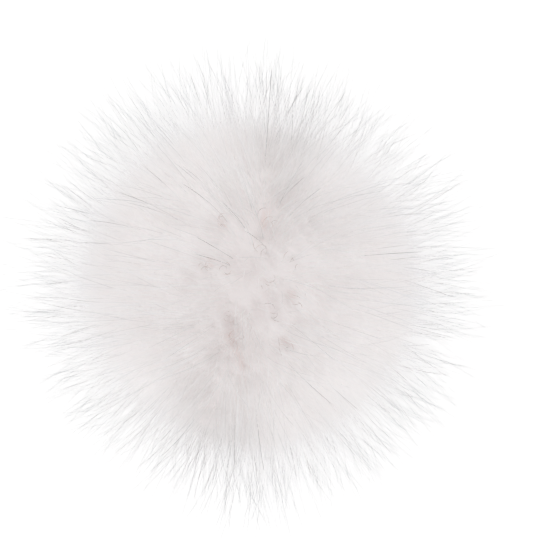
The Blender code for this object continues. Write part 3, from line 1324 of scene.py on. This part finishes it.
UNDERFUR = HairFinish(
    "underfur", root=(0.975, 0.957, 0.956, 1.0), middle=(0.987, 0.975, 0.971, 1.0),
    tip=(0.955, 0.954, 0.967, 1.0), rise=(0.08, 0.2), fall=(0.30, 0.48), tone_spread=0.10,
)
DOWN = HairFinish(
    "down", root=(0.975, 0.957, 0.956, 1.0), middle=(0.984, 0.972, 0.969, 1.0),
    tip=(0.930, 0.940, 0.957, 1.0), rise=(0.08, 0.2), fall=(0.28, 0.45), tone_spread=0.10,
)
OVERFUR = HairFinish(
    "overfur", root=(0.985, 0.972, 0.972, 1.0), middle=(0.980, 0.970, 0.971, 1.0),
    tip=(0.885, 0.885, 0.905, 1.0), rise=(0.08, 0.2), fall=(0.32, 0.58), tone_spread=0.3,
)
PALE_GUARD = HairFinish(
    "pale_guard", root=(0.98, 0.97, 0.97, 1.0), middle=(0.71, 0.725, 0.73, 1.0),
    tip=(0.655, 0.67, 0.675, 1.0), rise=(0.42, 0.62), fall=(0.8, 1.0), tone_spread=0.4,
)
DARK_GUARD = HairFinish(
    "dark_guard", root=(0.98, 0.97, 0.97, 1.0), middle=(0.42, 0.40, 0.40, 1.0),
    tip=(0.46, 0.44, 0.44, 1.0), rise=(0.52, 0.74), fall=(0.9, 1.0), tone_spread=0.85,
)
CURLED = HairFinish(
    "curled_hair", root=(0.9, 0.82, 0.78, 1.0), middle=(0.60, 0.46, 0.41, 1.0),
    tip=(0.70, 0.58, 0.54, 1.0), tone_spread=0.5,
)

LAYERS = (
    HairLayer(
        "underfur", UNDERFUR, wisps=6000, strands_a_wisp=5, pieces=2, points=3, shortest=36.6 * MM,
        softness=1.7 * MM, longest=46 * MM, half_width=0.085 * MM, wisp_spread=1.2 * MM, tip_share=0.8,
        stray=0.14, tufting=0.75, seed=101,
    ),
    HairLayer(
        "down", DOWN, wisps=20000, strands_a_wisp=4, pieces=2, points=2, root_radius=32.5 * MM,
        shortest=37.2 * MM, softness=2.8 * MM, longest=48 * MM, half_width=0.06 * MM,
        wisp_spread=1.0 * MM, tip_share=1.0, stray=0.2, tufting=0.55, seed=105,
    ),
    HairLayer(
        "foot_fringe", UNDERFUR, wisps=750, strands_a_wisp=4, points=4, highest=math.radians(146),
        shortest=40 * MM, softness=2.0 * MM, longest=46 * MM, half_width=0.075 * MM,
        strand_share=(0.95, 1.12), wisp_spread=1.2 * MM, tip_share=0.9, stray=0.12, seed=108,
    ),
    HairLayer(
        "overfur", OVERFUR, wisps=2500, strands_a_wisp=3, points=4, root_radius=31.5 * MM,
        shortest=38 * MM, softness=7.0 * MM, longest=57 * MM, taper=4.0, half_width=0.044 * MM,
        tone_scatter=0.4, shade_share=0.2, lay=1.5, wisp_spread=1.8 * MM, tip_share=1.1, stray=0.2,
        seed=102,
    ),
    HairLayer(
        "pale_guard_hair", PALE_GUARD, wisps=2700, strands_a_wisp=2, points=5, shortest=47.5 * MM,
        softness=12.0 * MM, longest=63 * MM, strand_share=(0.84, 1.0), tufting=0.35, taper=14.0,
        belly=0.0, crowding=1.6, width_range=(0.5, 1.4), half_width=0.029 * MM, wisp_spread=2.6 * MM,
        tip_share=1.2, stray=0.28, face_share=0.1, seed=103,
    ),
    HairLayer(
        "dark_guard_hair", DARK_GUARD, wisps=230, strands_a_wisp=2, points=6, shortest=47 * MM,
        softness=6.0 * MM, longest=57 * MM, strand_share=(0.86, 1.0), tufting=0.5, taper=14.0, belly=0.0,
        crowding=1.5, tone_scatter=0.3, half_width=0.036 * MM, wisp_spread=3.0 * MM, tip_share=1.2,
        stray=0.2, face_share=0.42, banding=Banding.LENGTH, seed=104,
    ),
)


def main() -> None:
    """Builds every piece in order."""
    logging.basicConfig(level=logging.INFO, format="%(name)s: %(message)s")
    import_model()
    form = PileForm()
    pieces = [DensePile().build(form, DensePileFinish())]
    for layer in LAYERS:
        pieces += layer.build(form)
    pieces += [CurledHair(CURLED).build(form), StudStitches(ThreadFinish()).build()]
    for piece in pieces:
        log.info("%s: %d faces", piece.name, len(piece.data.polygons))
    steel = SteelFinish("pressed_steel", (0.60, 0.58, 0.56, 1.0), roughness=0.28).material()
    wire = SteelFinish("drawn_wire", (0.70, 0.69, 0.68, 1.0), roughness=0.2).material()
    for node, material in (
        ("press_stud", steel),
        ("stud_spring_left", wire),
        ("stud_spring_right", wire),
    ):
        data = bpy.data.objects[node].data
        data.materials.clear()
        data.materials.append(material)
    Studio().build()


if __name__ == "__main__":
    main()
